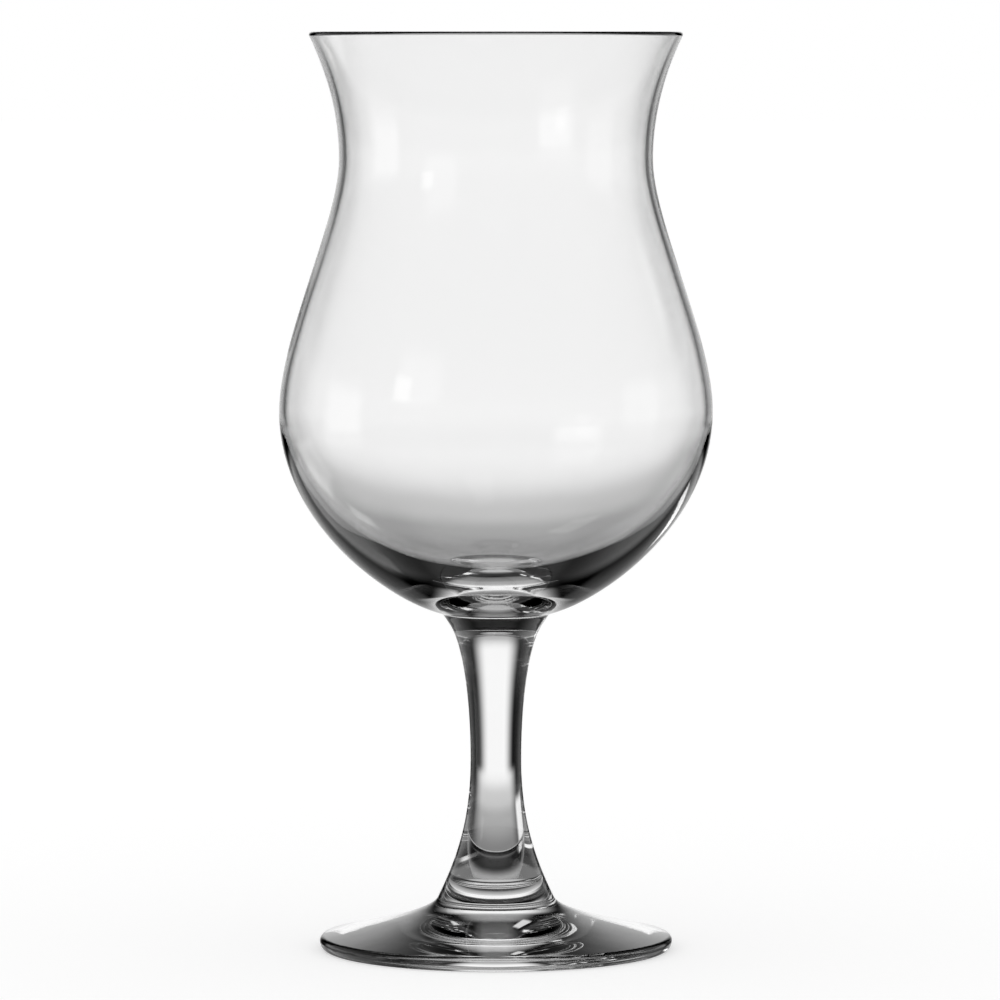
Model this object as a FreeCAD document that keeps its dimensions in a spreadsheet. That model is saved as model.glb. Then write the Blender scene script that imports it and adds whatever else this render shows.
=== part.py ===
import FreeCAD, Part
import os
import re
import Sketcher

# A stemmed cocktail glass made of three turned pieces of glass: foot, stem and bowl.
# Lengths are in millimetres and slopes in degrees. Up is +Z, and the origin is the middle of the foot's rest.
# A share is a curve handle's length as a part of the span that its curve crosses.
SIZES = (
    ("foot_radius", 34.7, "axis to the foot's widest line"),
    ("foot_edge_height", 1.6, "height of the foot's widest line"),
    ("foot_overhang", 1.2, "widest line beyond the flat ring that the glass stands on"),
    ("ring_width", 4.0, "width of that ring"),
    ("foot_hollow", 2.1, "rise of the underside's middle over the table"),
    ("foot_hollow_slope", 9.0, "slope of the underside where it leaves the ring"),
    ("shoulder_inset", 0.9, "widest line beyond the shoulder, where the foot's top turns into its edge"),
    ("shoulder_height", 2.7, "height of that shoulder"),
    ("foot_top_slope", 12.5, "slope of the foot's top at the shoulder"),
    ("hub_height", 10.2, "height of the weld between foot and stem"),
    ("hub_radius", 11.4, "radius of that weld"),
    ("hub_slope", 64.0, "slope of the outline through that weld"),
    ("stem_length", 54.1, "distance between the stem's two welds"),
    ("stem_narrow_height", 27.1, "height of the stem's narrowest place over its lower weld"),
    ("stem_narrow_radius", 5.0, "radius of the stem's narrowest place"),
    ("neck_radius", 9.3, "radius of the weld between stem and bowl"),
    ("neck_slope", 55.0, "slope of the outline through that weld"),
    ("bowl_height", 115.7, "height of the bowl over its weld"),
    ("corner_width", 1.8, "radial width of the corner between the neck and the bowl's underside"),
    ("corner_rise", 1.9, "height of that corner over the weld"),
    ("underside_slope", 14.0, "slope of the outline where the corner ends"),
    ("belly_radius", 42.5, "axis to the outside of the belly"),
    ("belly_height", 41.6, "height of the belly's widest line over the weld"),
    ("belly_wall", 1.25, "thickness of the glass at the belly"),
    ("waist_radius", 30.7, "axis to the outside of the waist"),
    ("waist_height", 91.0, "height of the waist over the weld"),
    ("waist_wall", 1.5, "thickness of the glass at the waist"),
    ("lip_radius", 36.5, "axis to the outside of the rounded lip"),
    ("lip_wall", 1.25, "thickness of the glass at the lip"),
    ("lip_flare", 26.0, "lean of the lip away from upright"),
    ("floor_height", 7.2, "height of the bowl's inside bottom over the weld"),
    ("half_round_share", 0.667, "handle of a half round end over the end's width"),
    ("foot_edge_share", 0.55, "foot's round edge"),
    ("hollow_middle_share", 0.4, "underside at its middle, over the ring's inside radius"),
    ("hollow_ring_share", 0.3, "underside at the ring, over the ring's inside radius"),
    ("hub_share", 0.13, "hub below the lower weld, over the foot's radial span"),
    ("foot_top_share", 0.59, "foot's top at the shoulder, over the foot's radial span"),
    ("stem_foot_share", 0.32, "stem at its lower weld, over the stem's lower part"),
    ("stem_lower_share", 0.43, "stem below its narrowest place, over the stem's lower part"),
    ("stem_upper_share", 0.44, "stem above its narrowest place, over the stem's upper part"),
    ("stem_neck_share", 0.185, "stem at its upper weld, over the stem's upper part"),
    ("neck_share", 0.65, "bowl above its weld, over the neck corner's rise"),
    ("corner_share", 0.45, "neck corner at the underside, over the corner's rise"),
    ("underside_share", 0.3, "bowl's underside, over its radial span"),
    ("bowl_outside_share", 0.57, "outside below the belly, over the height from the corner to the belly"),
    ("belly_share", 0.29, "walls above the belly, over the height from belly to waist"),
    ("waist_share", 0.245, "walls below the waist, over the height from belly to waist"),
    ("flare_share", 0.33, "flare at both ends, over the height from waist to lip"),
    ("inside_share", 0.41, "inside below the belly, over the depth from the belly to the inside bottom"),
    ("floor_share", 0.645, "inside bottom at the axis, over the inside radius at the belly"),
)


def add_sizes(doc):
    sheet = doc.addObject("Spreadsheet::Sheet", "Sizes")
    for row, (name, number, meaning) in enumerate(SIZES, start=1):
        sheet.set("A%d" % row, name)
        sheet.set("B%d" % row, str(number))
        sheet.setAlias("B%d" % row, name)
        sheet.set("C%d" % row, meaning)
    doc.recompute()


def named(text):
    """Spell out an expression that uses the names of sizes."""
    known = {name for name, number, meaning in SIZES}
    return re.sub("[a-z_]+", lambda word: "Sizes." + word[0] if word[0] in known else word[0], text)


def number_of(sketch, text):
    return float(sketch.evalExpression(text))


def point_of(sketch, place):
    return FreeCAD.Vector(number_of(sketch, named(place[0])), number_of(sketch, named(place[1])), 0)


def hold(sketch, element, end, place, name):
    """Tie one end of an element to its distance from the axis and its height."""
    across, up = place
    for kind, text, line, suffix in (("DistanceX", across, -2, "across"), ("DistanceY", up, -1, "up")):
        if text == "0":
            sketch.addConstraint(Sketcher.Constraint("PointOnObject", element, end, line))
            continue
        formula = named(text)
        length = number_of(sketch, formula)
        index = sketch.addConstraint(Sketcher.Constraint(kind, -1, 1, element, end, length))
        sketch.renameConstraint(index, name + "_" + suffix)
        sketch.setExpression("Constraints." + name + "_" + suffix, formula)


def add_line(sketch, start, end):
    return sketch.addGeometry(Part.LineSegment(point_of(sketch, start), point_of(sketch, end)), False)


def add_curve(sketch, places, name):
    """Add one cubic curve from its two ends and the two handle points between them."""
    poles = [point_of(sketch, place) for place in places]
    curve = sketch.addGeometry(Part.BSplineCurve(poles, None, None, False, 3, None, False), False)
    marks = [sketch.addGeometry(Part.Circle(pole, FreeCAD.Vector(0, 0, 1), 1), True) for pole in poles]
    sketch.addConstraint(Sketcher.Constraint("Weight", marks[0], 1))
    for number, mark in enumerate(marks):
        if number:
            sketch.addConstraint(Sketcher.Constraint("Equal", marks[0], mark))
        kind = "InternalAlignment:Sketcher::BSplineControlPoint"
        sketch.addConstraint(Sketcher.Constraint(kind, mark, 3, curve, number))
    hold(sketch, marks[1], 3, places[1], name + "_leaving")
    hold(sketch, marks[2], 3, places[2], name + "_arriving")
    return curve


def add_outline(body, start, steps):
    """Draw a closed outline on the body's own XZ plane: each step ends at its last place."""
    sketch = body.newObject("Sketcher::SketchObject", body.Name + "Outline")
    plane = next(part for part in body.Origin.OriginFeatures if part.Role == "XZ_Plane")
    sketch.AttachmentSupport = (plane, [""])
    sketch.MapMode = "FlatFace"
    elements = []
    place = start
    for name, places in steps:
        if len(places) == 1:
            elements.append(add_line(sketch, place, places[0]))
        else:
            elements.append(add_curve(sketch, [place] + places, name))
        place = places[-1]
    for element, following in zip(elements, elements[1:] + elements[:1]):
        sketch.addConstraint(Sketcher.Constraint("Coincident", element, 2, following, 1))
    for element, (name, places) in zip(elements, steps):
        hold(sketch, element, 2, places[-1], name)
    return sketch


def turn(doc, name, label, base, start, steps):
    """Make one body whose outline is turned about its axis and whose base sits at the given height."""
    body = doc.addObject("PartDesign::Body", name)
    body.Label = label
    body.setExpression("Placement.Base.z", named(base))
    sketch = add_outline(body, start, steps)
    solid = body.newObject("PartDesign::Revolution", name + "Turned")
    solid.Profile = sketch
    solid.ReferenceAxis = (sketch, ["V_Axis"])
    solid.Angle = 360
    sketch.Visibility = False
    return body


def make_foot(doc):
    ring_outside = "(foot_radius - foot_overhang)"
    ring_inside = "(foot_radius - foot_overhang - ring_width)"
    shoulder = "(foot_radius - shoulder_inset)"
    top_span = "(foot_radius - shoulder_inset - hub_radius)"
    top_handle = "foot_top_share * " + top_span
    hub_handle = "hub_share * " + top_span
    edge_handle = "foot_edge_share * shoulder_inset"
    hollow_handle = "hollow_ring_share * " + ring_inside
    steps = [
        ("rest", [(ring_outside, "0")]),
        ("edge_below", [(ring_outside + " + foot_edge_share * foot_overhang", "0"),
                        ("foot_radius", "foot_edge_height * (1 - foot_edge_share)"),
                        ("foot_radius", "foot_edge_height")]),
        ("edge_above", [("foot_radius",
                         "foot_edge_height + foot_edge_share * (shoulder_height - foot_edge_height)"),
                        (shoulder + " + " + edge_handle + " * cos(foot_top_slope)",
                         "shoulder_height - " + edge_handle + " * sin(foot_top_slope)"),
                        (shoulder, "shoulder_height")]),
        ("top", [(shoulder + " - " + top_handle + " * cos(foot_top_slope)",
                  "shoulder_height + " + top_handle + " * sin(foot_top_slope)"),
                 ("hub_radius + " + hub_handle + " * cos(hub_slope)",
                  "hub_height - " + hub_handle + " * sin(hub_slope)"),
                 ("hub_radius", "hub_height")]),
        ("weld", [("0", "hub_height")]),
        ("axis", [("0", "foot_hollow")]),
        ("hollow", [("hollow_middle_share * " + ring_inside, "foot_hollow"),
                    (ring_inside + " - " + hollow_handle + " * cos(foot_hollow_slope)",
                     hollow_handle + " * sin(foot_hollow_slope)"),
                    (ring_inside, "0")]),
    ]
    return turn(doc, "Foot", "foot", "0", (ring_inside, "0"), steps)


def make_stem(doc):
    upper_part = "(stem_length - stem_narrow_height)"
    lower = "stem_foot_share * stem_narrow_height"
    upper = "stem_neck_share * " + upper_part
    steps = [
        ("lower_weld", [("hub_radius", "0")]),
        ("lower", [("hub_radius - " + lower + " * cos(hub_slope)", lower + " * sin(hub_slope)"),
                   ("stem_narrow_radius", "stem_narrow_height * (1 - stem_lower_share)"),
                   ("stem_narrow_radius", "stem_narrow_height")]),
        ("upper", [("stem_narrow_radius", "stem_narrow_height + stem_upper_share * " + upper_part),
                   ("neck_radius - " + upper + " * cos(neck_slope)",
                    "stem_length - " + upper + " * sin(neck_slope)"),
                   ("neck_radius", "stem_length")]),
        ("upper_weld", [("0", "stem_length")]),
        ("axis", [("0", "0")]),
    ]
    return turn(doc, "Stem", "stem", "hub_height", ("0", "0"), steps)


def wall_places(radius_at_belly, radius_at_waist):
    """Places of the upright wall from belly to waist, for the outside or for the inside."""
    span = "(waist_height - belly_height)"
    return [(radius_at_belly, "belly_height + belly_share * " + span),
            (radius_at_waist, "waist_height - waist_share * " + span),
            (radius_at_waist, "waist_height")]


def flare_places(radius_at_waist, side):
    """Places of the flare from waist to lip. The side is the sign that leads from mid-wall to the surface."""
    span = "(bowl_height - waist_height)"
    across = "lip_radius - lip_wall / 2 %s lip_wall / 2 * cos(lip_flare)" % side
    up = "bowl_height - lip_wall / 2 %s lip_wall / 2 * sin(lip_flare)" % {"+": "-", "-": "+"}[side]
    return [(radius_at_waist, "waist_height + flare_share * " + span),
            (across + " - flare_share * " + span + " * sin(lip_flare)",
             up + " - flare_share * " + span + " * cos(lip_flare)"),
            (across, up)]


def make_bowl(doc):
    inner_belly = "(belly_radius - belly_wall)"
    inner_waist = "(waist_radius - waist_wall)"
    underside = "(neck_radius + corner_width)"
    corner_handle = "corner_share * corner_rise"
    underside_handle = "underside_share * (belly_radius - neck_radius - corner_width)"
    outside = flare_places("waist_radius", "+")
    inside = flare_places(inner_waist, "-")
    inner_wall = wall_places(inner_belly, inner_waist)
    lip_out = " + half_round_share * lip_wall * sin(lip_flare)"
    lip_up = " + half_round_share * lip_wall * cos(lip_flare)"
    steps = [
        ("weld", [("neck_radius", "0")]),
        ("corner", [("neck_radius + neck_share * corner_rise * cos(neck_slope)",
                     "neck_share * corner_rise * sin(neck_slope)"),
                    (underside + " - " + corner_handle + " * cos(underside_slope)",
                     "corner_rise - " + corner_handle + " * sin(underside_slope)"),
                    (underside, "corner_rise")]),
        ("outside", [(underside + " + " + underside_handle + " * cos(underside_slope)",
                      "corner_rise + " + underside_handle + " * sin(underside_slope)"),
                     ("belly_radius",
                      "belly_height - bowl_outside_share * (belly_height - corner_rise)"),
                     ("belly_radius", "belly_height")]),
        ("outer_wall", wall_places("belly_radius", "waist_radius")),
        ("outer_flare", outside),
        ("lip", [(outside[2][0] + lip_out, outside[2][1] + lip_up),
                 (inside[2][0] + lip_out, inside[2][1] + lip_up),
                 inside[2]]),
        ("inner_flare", [inside[1], inside[0], (inner_waist, "waist_height")]),
        ("inner_wall", [inner_wall[1], inner_wall[0], (inner_belly, "belly_height")]),
        ("inside", [(inner_belly, "belly_height - inside_share * (belly_height - floor_height)"),
                    ("floor_share * " + inner_belly, "floor_height"),
                    ("0", "floor_height")]),
        ("axis", [("0", "0")]),
    ]
    return turn(doc, "Bowl", "bowl", "hub_height + stem_length", ("0", "0"), steps)


def check(doc):
    for item in doc.Objects:
        faults = {"Invalid", "Error"}.intersection(item.State)
        if faults:
            raise RuntimeError("%s is %s" % (item.Name, ", ".join(sorted(faults))))
        shape = getattr(item, "Shape", None)
        if shape is not None and (shape.isNull() or not shape.isValid()):
            raise RuntimeError("%s has no valid shape" % item.Name)


def write(bodies):
    os.makedirs("parts", exist_ok=True)
    for body in bodies:
        body.Shape.exportStep("parts/%s.step" % body.Label)


def main():
    doc = FreeCAD.newDocument("StemmedGlass")
    add_sizes(doc)
    bodies = [make_foot(doc), make_stem(doc), make_bowl(doc)]
    doc.recompute()
    check(doc)
    write(bodies)


main()
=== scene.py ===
import math

import bpy
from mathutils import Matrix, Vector


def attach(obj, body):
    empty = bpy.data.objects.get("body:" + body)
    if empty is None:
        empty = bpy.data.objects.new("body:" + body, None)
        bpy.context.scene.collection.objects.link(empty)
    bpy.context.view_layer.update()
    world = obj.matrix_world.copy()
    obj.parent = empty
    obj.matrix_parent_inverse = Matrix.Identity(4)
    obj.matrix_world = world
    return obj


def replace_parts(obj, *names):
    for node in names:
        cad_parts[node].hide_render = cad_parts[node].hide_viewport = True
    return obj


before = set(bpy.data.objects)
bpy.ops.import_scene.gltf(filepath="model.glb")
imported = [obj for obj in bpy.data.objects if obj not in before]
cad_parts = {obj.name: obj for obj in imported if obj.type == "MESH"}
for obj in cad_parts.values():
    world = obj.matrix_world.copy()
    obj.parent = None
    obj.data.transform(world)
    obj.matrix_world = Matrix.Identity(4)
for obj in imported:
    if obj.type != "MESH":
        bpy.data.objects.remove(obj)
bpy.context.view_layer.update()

MM = 0.001

# Sizes of the glass in millimetres, as in the part's source; slopes in degrees.
FOOT_RADIUS = 34.7
FOOT_EDGE_HEIGHT = 1.6
FOOT_OVERHANG = 1.2
RING_WIDTH = 4.0
FOOT_HOLLOW = 2.1
FOOT_HOLLOW_SLOPE = 9.0
SHOULDER_INSET = 0.9
SHOULDER_HEIGHT = 2.7
FOOT_TOP_SLOPE = 12.5
HUB_HEIGHT = 10.2
HUB_RADIUS = 11.4
HUB_SLOPE = 64.0
STEM_LENGTH = 54.1
STEM_NARROW_HEIGHT = 27.1
STEM_NARROW_RADIUS = 5.0
NECK_RADIUS = 9.3
NECK_SLOPE = 55.0
BOWL_HEIGHT = 115.7
CORNER_WIDTH = 1.8
CORNER_RISE = 1.9
UNDERSIDE_SLOPE = 14.0
BELLY_RADIUS = 42.5
BELLY_HEIGHT = 41.6
BELLY_WALL = 1.25
WAIST_RADIUS = 30.7
WAIST_HEIGHT = 91.0
WAIST_WALL = 1.5
LIP_RADIUS = 36.5
LIP_WALL = 1.25
LIP_FLARE = 26.0
FLOOR_HEIGHT = 7.2

# Handles of the curves, as shares of the span that each curve crosses.
HALF_ROUND_SHARE = 0.667
FOOT_EDGE_SHARE = 0.55
HOLLOW_MIDDLE_SHARE = 0.4
HOLLOW_RING_SHARE = 0.3
HUB_SHARE = 0.13
FOOT_TOP_SHARE = 0.59
STEM_FOOT_SHARE = 0.32
STEM_LOWER_SHARE = 0.43
STEM_UPPER_SHARE = 0.44
STEM_NECK_SHARE = 0.185
NECK_SHARE = 0.65
CORNER_SHARE = 0.45
UNDERSIDE_SHARE = 0.3
BOWL_OUTSIDE_SHARE = 0.57
BELLY_SHARE = 0.29
WAIST_SHARE = 0.245
FLARE_SHARE = 0.33
INSIDE_SHARE = 0.41
FLOOR_SHARE = 0.645

ROUND_STEPS = 384
CURVE_STEPS = 32

# Clear glass, and the faint waves in the surface of each piece: how many to the metre across and along
# the axis, and their depth in metres.
REFRACTION = 1.5
WAVES = {"foot": (150, 150, 0.00002), "stem": (400, 25, 0.00001), "bowl": (60, 40, 0.00006)}

# The camera of the photograph: places and reach in metres, lens and sensor in millimetres.
CAMERA_PLACE = (0.0008, -1.2888, 0.180)
CAMERA_AIM = (0.0008, 0, 0.0884)
CAMERA_LENS = 237.3
CAMERA_SENSOR = 36
CAMERA_REACH = 20

WHITE = (1, 1, 1, 1)

# The floor reaches this many metres each way. Its glow only shows and lights nothing, and the sky has one
# strength where it is seen and another where it lights the floor.
FLOOR_REACH = 12
FLOOR_COLOUR = (0.85, 0.85, 0.85, 1)
FLOOR_GLOW = 0.5
SKY_SHOWN = 1.0
SKY_LIGHT = 0.6

# The two domes of the studio, in metres and in steps upright and round.
DOME_RADIUS = 3.0
DOME_HEIGHT = 0.09
DOME_ROWS = 48
DOME_COLUMNS = 96

# Light is followed this far, because clear glass passes it on many times.
MOST_BOUNCES = 24
MOST_MIRRORED = 6

# The studio that the glass shows, as pairs of an angle in degrees and the level of light there, where 1 is
# white. Sideways is the angle to either side of +Y, which is behind the glass, and upright is the angle above
# the horizon. The tables named mirrored are for light mirrored in the glass, and those without that word for
# light that comes through it, or for both where there is no mirrored one.
BACKDROP_SIDEWAYS = ((10, 1.0), (31, 0.0))
BACKDROP_SIDEWAYS_MIRRORED = ((5, 1.0), (20, 0.0))
BACKDROP_UPRIGHT = ((-13.5, 0.0), (-9.2, 1.0), (10, 1.0), (24, 0.5), (38, 0.3), (46, 0.0))
BACKDROP_UPRIGHT_MIRRORED = ((-13.5, 0.0), (-9.2, 1.0), (16, 1.0), (33, 0.0))
TABLE_SIDEWAYS = ((20, 1.0), (42, 0.0))
TABLE_UPRIGHT = ((-44, 0.0), (-38, 0.18), (-30, 0.24), (-20, 0.41), (-15, 0.6), (-10.5, 0.74), (-8, 0.0))
TABLE_BELOW = ((-70, 0.55), (-52, 0.0))
TABLE_BESIDE_SIDEWAYS = ((70, 0.0), (90, 0.18))
TABLE_BESIDE_UPRIGHT = ((-32, 1.0), (-24, 0.0))
ROOM_SIDEWAYS = ((38, 0.0), (58, 0.45))
ROOM_SIDEWAYS_MIRRORED = ((30, 0.0), (40, 0.8), (76, 0.8), (110, 0.32))
ROOM_UPRIGHT = ((-50, 0.8), (-12, 1.0), (14, 1.0), (22, 0.35), (60, 0.1))
ROOM_UPRIGHT_MIRRORED = ((-60, 0.3), (-36, 1.0), (-20, 1.0), (-12, 0.3), (-6, 0.3), (-1, 1.0), (8, 1.0),
                         (14, 0.4), (60, 0.1))

# Soft-edged cards and lights in the studio. Each row has the angle from +Y towards +X, the angle above the
# horizon, half the width, half the height, the width of the soft edge at the sides, the same above and below,
# and the level. The three cards for the bowl are wide forms of the first three, for light that has come
# through both its walls.
CARDS = (
    (-90, -2, 8, 8, 9, 7, 0.95),
    (-45, -25, 7, 6, 7, 4, 0.95),
    (135, -15, 8, 5, 9, 4, 0.95),
    (-28, 45, 6, 4, 3, 3, 0.8),
    (165, 60, 10, 7, 4, 4, 0.6),
    (-128, 14, 3, 3, 3, 3, 1.0),
    (-39, -43, 3, 2, 3, 3, 1.0),
)
CARDS_FOR_BOWL = (
    (-90, -2, 8, 10, 9, 9, 0.95),
    (135, -15, 8, 9, 9, 10, 0.95),
    (-45, -31, 8, 8, 9, 8, 0.95),
)
CARDS_MIRRORED = (
    (-38, -20, 4, 6, 3, 3, 1.0),
    (24, -17, 6, 1, 2, 1.5, 3.0),
)

# A ramp's added colours start here, and then move to the places of its table.
RAMP_MIDDLE = 0.5

# The domes tell light apart by the number of surfaces that it has passed. That is two through the stem, the
# foot or one wall of the bowl, more through both its walls, and none where the nearest surface mirrors it.
MORE_THAN_TWO_SURFACES = 2.5
LESS_THAN_ONE_SURFACE = 0.5

# The share of the room that shows in light that has passed no more than two surfaces, and the share of the
# mirrored studio in light that has passed any.
ROOM_IN_SOLID = 0.12
MIRRORED_BEHIND_GLASS = 0.1


def toward(place, slope, length):
    """The place that lies a length away, outward and up along a slope."""
    angle = math.radians(slope)
    return (place[0] + length * math.cos(angle), place[1] + length * math.sin(angle))


def curve(start, leaving, arriving, end):
    """Places and outline directions along one cubic curve."""
    row = []
    for step in range(CURVE_STEPS + 1):
        t = step / CURVE_STEPS
        u = 1 - t
        weights = (u ** 3, 3 * u * u * t, 3 * u * t * t, t ** 3)
        slopes = (-u * u, u * u - 2 * u * t, 2 * u * t - t * t, t * t)
        poles = (start, leaving, arriving, end)
        place = [sum(w * pole[axis] for w, pole in zip(weights, poles)) for axis in (0, 1)]
        way = [sum(w * pole[axis] for w, pole in zip(slopes, poles)) for axis in (0, 1)]
        row.append((place, way))
    return row


def foot_outline():
    """The foot's curves from the middle of its underside to its weld, and the height they start from."""
    ring_outside = (FOOT_RADIUS - FOOT_OVERHANG, 0)
    ring_inside = (ring_outside[0] - RING_WIDTH, 0)
    widest = (FOOT_RADIUS, FOOT_EDGE_HEIGHT)
    shoulder = (FOOT_RADIUS - SHOULDER_INSET, SHOULDER_HEIGHT)
    weld = (HUB_RADIUS, HUB_HEIGHT)
    span = shoulder[0] - weld[0]
    below = curve(ring_outside, toward(ring_outside, 0, FOOT_EDGE_SHARE * FOOT_OVERHANG),
                  (FOOT_RADIUS, FOOT_EDGE_HEIGHT * (1 - FOOT_EDGE_SHARE)), widest)
    above = curve(widest, toward(widest, 90, FOOT_EDGE_SHARE * (SHOULDER_HEIGHT - FOOT_EDGE_HEIGHT)),
                  toward(shoulder, -FOOT_TOP_SLOPE, FOOT_EDGE_SHARE * SHOULDER_INSET), shoulder)
    top = curve(shoulder, toward(shoulder, 180 - FOOT_TOP_SLOPE, FOOT_TOP_SHARE * span),
                toward(weld, -HUB_SLOPE, HUB_SHARE * span), weld)
    hollow = curve((0, FOOT_HOLLOW), (HOLLOW_MIDDLE_SHARE * ring_inside[0], FOOT_HOLLOW),
                   toward(ring_inside, 180 - FOOT_HOLLOW_SLOPE, HOLLOW_RING_SHARE * ring_inside[0]),
                   ring_inside)
    ring = [(ring_inside, (1, 0)), (ring_outside, (1, 0))]
    return [hollow, ring, below, above, top], 0


def stem_outline():
    """The stem's side between its two welds, and the height of the lower one."""
    low = (HUB_RADIUS, 0)
    narrow = (STEM_NARROW_RADIUS, STEM_NARROW_HEIGHT)
    high = (NECK_RADIUS, STEM_LENGTH)
    upper = STEM_LENGTH - STEM_NARROW_HEIGHT
    lower = curve(low, toward(low, 180 - HUB_SLOPE, STEM_FOOT_SHARE * STEM_NARROW_HEIGHT),
                  toward(narrow, -90, STEM_LOWER_SHARE * STEM_NARROW_HEIGHT), narrow)
    rest = curve(narrow, toward(narrow, 90, STEM_UPPER_SHARE * upper),
                 toward(high, 180 + NECK_SLOPE, STEM_NECK_SHARE * upper), high)
    return [lower, rest], HUB_HEIGHT


def bowl_outline():
    """The bowl's curves from its weld over the lip to the inside bottom, and the height of the weld."""
    neck = (NECK_RADIUS, 0)
    underside = (NECK_RADIUS + CORNER_WIDTH, CORNER_RISE)
    belly = (BELLY_RADIUS, BELLY_HEIGHT)
    waist = (WAIST_RADIUS, WAIST_HEIGHT)
    wall_span = WAIST_HEIGHT - BELLY_HEIGHT
    flare_span = FLARE_SHARE * (BOWL_HEIGHT - WAIST_HEIGHT)
    middle = (LIP_RADIUS - LIP_WALL / 2, BOWL_HEIGHT - LIP_WALL / 2)
    lip_out = toward(middle, -LIP_FLARE, LIP_WALL / 2)
    lip_in = toward(middle, 180 - LIP_FLARE, LIP_WALL / 2)
    inner_belly = (BELLY_RADIUS - BELLY_WALL, BELLY_HEIGHT)
    inner_waist = (WAIST_RADIUS - WAIST_WALL, WAIST_HEIGHT)
    up = 90 - LIP_FLARE
    corner = curve(neck, toward(neck, NECK_SLOPE, NECK_SHARE * CORNER_RISE),
                   toward(underside, 180 + UNDERSIDE_SLOPE, CORNER_SHARE * CORNER_RISE), underside)
    outside = curve(underside,
                    toward(underside, UNDERSIDE_SLOPE, UNDERSIDE_SHARE * (BELLY_RADIUS - underside[0])),
                    toward(belly, -90, BOWL_OUTSIDE_SHARE * (BELLY_HEIGHT - CORNER_RISE)), belly)
    outer_wall = curve(belly, toward(belly, 90, BELLY_SHARE * wall_span),
                       toward(waist, -90, WAIST_SHARE * wall_span), waist)
    outer_flare = curve(waist, toward(waist, 90, flare_span), toward(lip_out, up, -flare_span), lip_out)
    lip = curve(lip_out, toward(lip_out, up, HALF_ROUND_SHARE * LIP_WALL),
                toward(lip_in, up, HALF_ROUND_SHARE * LIP_WALL), lip_in)
    inner_flare = curve(lip_in, toward(lip_in, up, -flare_span),
                        toward(inner_waist, 90, flare_span), inner_waist)
    inner_wall = curve(inner_waist, toward(inner_waist, -90, WAIST_SHARE * wall_span),
                       toward(inner_belly, 90, BELLY_SHARE * wall_span), inner_belly)
    inside = curve(inner_belly, toward(inner_belly, -90, INSIDE_SHARE * (BELLY_HEIGHT - FLOOR_HEIGHT)),
                   (FLOOR_SHARE * inner_belly[0], FLOOR_HEIGHT), (0, FLOOR_HEIGHT))
    return [corner, outside, outer_wall, outer_flare, lip, inner_flare, inner_wall, inside], \
        HUB_HEIGHT + STEM_LENGTH


def add_mesh(name, vertices, faces):
    """Add an object made of the given vertices and faces."""
    mesh = bpy.data.meshes.new(name)
    mesh.from_pydata(vertices, [], faces)
    piece = bpy.data.objects.new(name, mesh)
    bpy.context.collection.objects.link(piece)
    return piece


def turned(name, outline, base, material):
    """Turn an outline about the axis, with the exact normals of the turned curves."""
    rows = []
    for run in outline:
        rows.extend(run[1:] if rows else run)
    vertices, normals, rings = [], [], []
    for (radius, height), (across, up) in rows:
        size = math.hypot(across, up)
        across, up = across / size, up / size
        if radius == 0:
            rings.append([len(vertices)])
            vertices.append((0, 0, (base + height) * MM))
            normals.append((0, 0, -across))
            continue
        rings.append(list(range(len(vertices), len(vertices) + ROUND_STEPS)))
        for step in range(ROUND_STEPS):
            turn = 2 * math.pi * step / ROUND_STEPS
            cos, sin = math.cos(turn), math.sin(turn)
            vertices.append((radius * cos * MM, radius * sin * MM, (base + height) * MM))
            normals.append((up * cos, up * sin, -across))
    faces = []
    for low, high in zip(rings, rings[1:]):
        for step in range(ROUND_STEPS):
            after = (step + 1) % ROUND_STEPS
            if len(low) == 1:
                faces.append((low[0], high[after], high[step]))
            elif len(high) == 1:
                faces.append((low[step], low[after], high[0]))
            else:
                faces.append((low[step], low[after], high[after], high[step]))
    piece = add_mesh(name, vertices, faces)
    piece.data.shade_smooth()
    piece.data.normals_split_custom_set_from_vertices(normals)
    piece.data.materials.append(material)
    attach(piece, "root")
    return piece


def add_material(name):
    """Add a material, and give it with its node tree."""
    material = bpy.data.materials.new(name)
    material.use_nodes = True
    return material, material.node_tree


def glass_material(name, across, along, depth):
    """Clear glass with the faint waves of its making."""
    material, tree = add_material(name)
    shader = tree.nodes["Principled BSDF"]
    shader.inputs["Base Color"].default_value = WHITE
    shader.inputs["Roughness"].default_value = 0.0
    shader.inputs["IOR"].default_value = REFRACTION
    shader.inputs["Transmission Weight"].default_value = 1.0
    place = tree.nodes.new("ShaderNodeTexCoord")
    stretch = tree.nodes.new("ShaderNodeMapping")
    stretch.inputs["Scale"].default_value = (across, across, along)
    waves = tree.nodes.new("ShaderNodeTexNoise")
    waves.inputs["Scale"].default_value = 1.0
    waves.inputs["Detail"].default_value = 1.0
    bump = tree.nodes.new("ShaderNodeBump")
    bump.inputs["Strength"].default_value = 1.0
    bump.inputs["Distance"].default_value = depth
    tree.links.new(place.outputs["Object"], stretch.inputs["Vector"])
    tree.links.new(stretch.outputs["Vector"], waves.inputs["Vector"])
    tree.links.new(waves.outputs["Fac"], bump.inputs["Height"])
    tree.links.new(bump.outputs["Normal"], shader.inputs["Normal"])
    return material


def add_camera():
    """Add the camera that sees the glass as the photograph does."""
    data = bpy.data.cameras.new("camera")
    data.lens = CAMERA_LENS
    data.sensor_width = CAMERA_SENSOR
    data.clip_end = CAMERA_REACH
    camera = bpy.data.objects.new("camera", data)
    bpy.context.collection.objects.link(camera)
    camera.location = CAMERA_PLACE
    camera.rotation_euler = (Vector(CAMERA_AIM) - camera.location).to_track_quat("-Z", "Y").to_euler()
    bpy.context.scene.camera = camera


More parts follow.
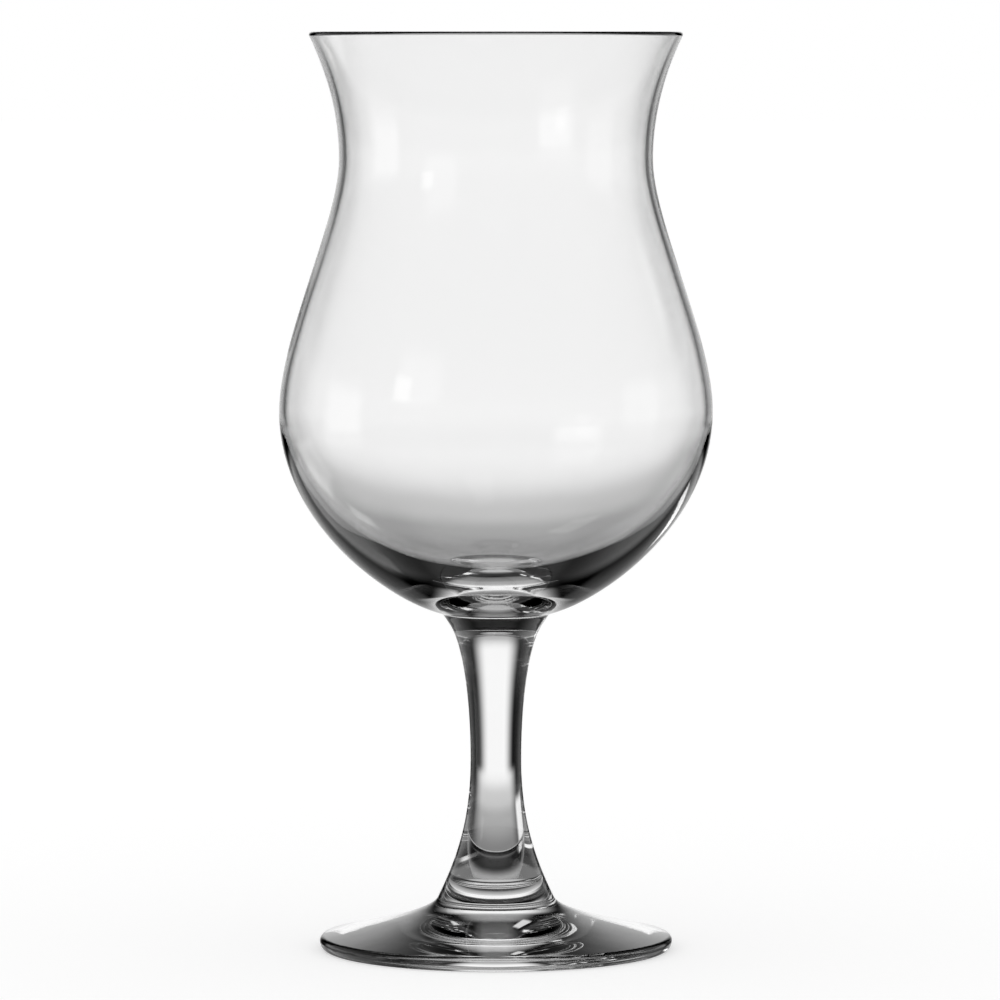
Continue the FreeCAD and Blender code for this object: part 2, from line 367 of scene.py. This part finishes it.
def seen_directly(tree):
    """One for rays from the camera, from a reflection or through glass, and nothing for the others."""
    path = tree.nodes.new("ShaderNodeLightPath")
    first = calculate(tree, "MAXIMUM", path.outputs["Is Camera Ray"], path.outputs["Is Glossy Ray"])
    return calculate(tree, "MAXIMUM", first, path.outputs["Is Transmission Ray"])


def add_world():
    """Add a plain soft light from all around, shown as white."""
    world = bpy.data.worlds.new("world")
    bpy.context.scene.world = world
    world.use_nodes = True
    tree = world.node_tree
    tree.nodes.clear()
    white = tree.nodes.new("ShaderNodeBackground")
    soft = tree.nodes.new("ShaderNodeBackground")
    for node, strength in ((white, SKY_SHOWN), (soft, SKY_LIGHT)):
        node.inputs["Color"].default_value = WHITE
        node.inputs["Strength"].default_value = strength
    mix = tree.nodes.new("ShaderNodeMixShader")
    out = tree.nodes.new("ShaderNodeOutputWorld")
    tree.links.new(seen_directly(tree), mix.inputs[0])
    tree.links.new(soft.outputs[0], mix.inputs[1])
    tree.links.new(white.outputs[0], mix.inputs[2])
    tree.links.new(mix.outputs[0], out.inputs["Surface"])


def ramp(tree, angle, stops, lowest=-90, highest=90):
    """Levels of light over an angle in degrees, eased from each pair in the table to the next."""
    node = tree.nodes.new("ShaderNodeValToRGB")
    node.color_ramp.interpolation = "EASE"
    elements = node.color_ramp.elements
    while len(elements) < len(stops):
        elements.new(RAMP_MIDDLE)
    for element, (place, level) in zip(elements, stops):
        element.position = (place - lowest) / (highest - lowest)
        element.color = (level, level, level, 1)
    share = calculate(tree, "DIVIDE", calculate(tree, "SUBTRACT", angle, lowest), highest - lowest)
    tree.links.new(share, node.inputs["Fac"])
    return node.outputs["Color"]


def calculate(tree, operation, *values):
    """One arithmetic node; each value is a number or the output of another node."""
    node = tree.nodes.new("ShaderNodeMath")
    node.operation = operation
    for socket, value in zip(node.inputs, values):
        if isinstance(value, (int, float)):
            socket.default_value = value
        else:
            tree.links.new(value, socket)
    return node.outputs[0]


def fade(tree, distance, half, edge):
    """One up to half a width from the middle, then down to nothing over the soft edge."""
    node = tree.nodes.new("ShaderNodeMapRange")
    node.interpolation_type = "SMOOTHSTEP"
    tree.links.new(distance, node.inputs["Value"])
    for name, value in (("From Min", half), ("From Max", half + edge), ("To Min", 1.0), ("To Max", 0.0)):
        node.inputs[name].default_value = value
    return node.outputs["Result"]


def laid_over(tree, below, share, level):
    """The levels below, covered by one level as far as the share says."""
    kept = calculate(tree, "MULTIPLY", below, calculate(tree, "SUBTRACT", 1.0, share))
    return calculate(tree, "ADD", kept, calculate(tree, "MULTIPLY", share, level))


def add_floor():
    """Add a plain pale floor that shows white and still takes the shadow of the glass.

    The glass shows the table of the two domes in its place.
    """
    corners = [(x * FLOOR_REACH, y * FLOOR_REACH, 0) for x, y in ((-1, -1), (1, -1), (1, 1), (-1, 1))]
    floor = add_mesh("floor", corners, [(0, 1, 2, 3)])
    material, tree = add_material("floor")
    tree.nodes.clear()
    pale = tree.nodes.new("ShaderNodeBsdfDiffuse")
    pale.inputs["Color"].default_value = FLOOR_COLOUR
    glow = tree.nodes.new("ShaderNodeEmission")
    glow.inputs["Strength"].default_value = FLOOR_GLOW
    both = tree.nodes.new("ShaderNodeAddShader")
    mix = tree.nodes.new("ShaderNodeMixShader")
    out = tree.nodes.new("ShaderNodeOutputMaterial")
    tree.links.new(pale.outputs[0], both.inputs[0])
    tree.links.new(glow.outputs[0], both.inputs[1])
    tree.links.new(seen_directly(tree), mix.inputs[0])
    tree.links.new(pale.outputs[0], mix.inputs[1])
    tree.links.new(both.outputs[0], mix.inputs[2])
    tree.links.new(mix.outputs[0], out.inputs["Surface"])
    floor.data.materials.append(material)
    floor.visible_glossy = False
    floor.visible_transmission = False


def spread(tree, turn, lift, sideways, upright):
    """The product of a level by the angle sideways and a level by the angle upright."""
    return calculate(tree, "MULTIPLY", ramp(tree, turn, sideways, 0, 180), ramp(tree, lift, upright))


def card_share(tree, azimuth, lift, middle, height, half_wide, half_high, side_edge, top_edge):
    """How far one soft-edged card covers what lies behind it."""
    away = calculate(tree, "WRAP", calculate(tree, "SUBTRACT", azimuth, middle), 180, -180)
    sideways = calculate(tree, "ABSOLUTE", away)
    upright = calculate(tree, "ABSOLUTE", calculate(tree, "SUBTRACT", lift, height))
    return calculate(tree, "MULTIPLY", fade(tree, sideways, half_wide, side_edge),
                     fade(tree, upright, half_high, top_edge))


def studio_level(tree, backdrop, room, room_in_solid, cards, bowl_cards):
    """The level of light for each way out of the glass, from the tables at the top.

    Light that has passed no more than two surfaces gets a share of the room and none of the bowl's cards.
    """
    place = tree.nodes.new("ShaderNodeTexCoord")
    parts = tree.nodes.new("ShaderNodeSeparateXYZ")
    tree.links.new(place.outputs["Object"], parts.inputs[0])
    across, along, up = parts.outputs
    azimuth = calculate(tree, "DEGREES", calculate(tree, "ARCTAN2", across, along))
    turn = calculate(tree, "ABSOLUTE", azimuth)
    squares = calculate(tree, "ADD", calculate(tree, "MULTIPLY", across, across),
                        calculate(tree, "MULTIPLY", along, along))
    lift = calculate(tree, "DEGREES", calculate(tree, "ARCTAN2", up, calculate(tree, "SQRT", squares)))
    path = tree.nodes.new("ShaderNodeLightPath")
    through_bowl = calculate(tree, "GREATER_THAN", path.outputs["Transmission Depth"], MORE_THAN_TWO_SURFACES)
    table = spread(tree, turn, lift, TABLE_SIDEWAYS, TABLE_UPRIGHT)
    table_beside = spread(tree, turn, lift, TABLE_BESIDE_SIDEWAYS, TABLE_BESIDE_UPRIGHT)
    room_level = calculate(tree, "MULTIPLY", spread(tree, turn, lift, *room),
                           calculate(tree, "MAXIMUM", through_bowl, room_in_solid))
    level = ramp(tree, lift, TABLE_BELOW)
    for part in (table, table_beside, room_level):
        level = calculate(tree, "MAXIMUM", level, part)
    level = laid_over(tree, level, spread(tree, turn, lift, *backdrop), 1.0)
    for card in cards:
        level = laid_over(tree, level, card_share(tree, azimuth, lift, *card[:-1]), card[-1])
    for card in bowl_cards:
        share = calculate(tree, "MULTIPLY", card_share(tree, azimuth, lift, *card[:-1]), through_bowl)
        level = laid_over(tree, level, share, card[-1])
    return level


def dimmed_behind_glass(tree, level):
    """The level, dimmed for light that came through glass before it was mirrored."""
    path = tree.nodes.new("ShaderNodeLightPath")
    first = calculate(tree, "LESS_THAN", path.outputs["Transmission Depth"], LESS_THAN_ONE_SURFACE)
    return calculate(tree, "MULTIPLY", level, calculate(tree, "MAXIMUM", first, MIRRORED_BEHIND_GLASS))


def add_dome(name):
    """Add a surround that only the glass shows, and give it with the tree and the glow of its material."""
    vertices = []
    for row in range(DOME_ROWS + 1):
        lift = math.pi * (row / DOME_ROWS - 0.5)
        for column in range(DOME_COLUMNS):
            turn = 2 * math.pi * column / DOME_COLUMNS
            vertices.append((DOME_RADIUS * math.cos(lift) * math.sin(turn),
                             DOME_RADIUS * math.cos(lift) * math.cos(turn), DOME_RADIUS * math.sin(lift)))
    faces = []
    for row in range(DOME_ROWS):
        low, high = row * DOME_COLUMNS, (row + 1) * DOME_COLUMNS
        for column in range(DOME_COLUMNS):
            after = (column + 1) % DOME_COLUMNS
            faces.append((low + column, low + after, high + after, high + column))
    dome = add_mesh(name, vertices, faces)
    dome.location.z = DOME_HEIGHT
    material, tree = add_material(name)
    tree.nodes.clear()
    glow = tree.nodes.new("ShaderNodeEmission")
    out = tree.nodes.new("ShaderNodeOutputMaterial")
    tree.links.new(glow.outputs[0], out.inputs["Surface"])
    dome.data.materials.append(material)
    dome.visible_camera = False
    dome.visible_diffuse = False
    dome.visible_shadow = False
    return dome, tree, glow.inputs["Strength"]


def add_studio():
    """Add the studio that shows through the glass and the one that is mirrored in it."""
    through, tree, strength = add_dome("through_dome")
    level = studio_level(tree, (BACKDROP_SIDEWAYS, BACKDROP_UPRIGHT), (ROOM_SIDEWAYS, ROOM_UPRIGHT),
                         ROOM_IN_SOLID, CARDS, CARDS_FOR_BOWL)
    tree.links.new(level, strength)
    through.visible_glossy = False
    mirrored, tree, strength = add_dome("mirror_dome")
    level = studio_level(tree, (BACKDROP_SIDEWAYS_MIRRORED, BACKDROP_UPRIGHT_MIRRORED),
                         (ROOM_SIDEWAYS_MIRRORED, ROOM_UPRIGHT_MIRRORED), 1.0,
                         CARDS + CARDS_FOR_BOWL + CARDS_MIRRORED, ())
    tree.links.new(dimmed_behind_glass(tree, level), strength)
    mirrored.visible_transmission = False


def main():
    """Build the glass, the studio and the camera."""
    add_camera()
    for name, make in (("foot", foot_outline), ("stem", stem_outline), ("bowl", bowl_outline)):
        outline, base = make()
        glass = glass_material("clear_glass_" + name, *WAVES[name])
        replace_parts(turned("glass_" + name, outline, base, glass), name)
    add_world()
    add_floor()
    add_studio()
    bpy.context.scene.view_settings.view_transform = "Standard"
    light_paths = bpy.context.scene.cycles
    light_paths.max_bounces = MOST_BOUNCES
    light_paths.transmission_bounces = MOST_BOUNCES
    light_paths.glossy_bounces = MOST_MIRRORED


main()
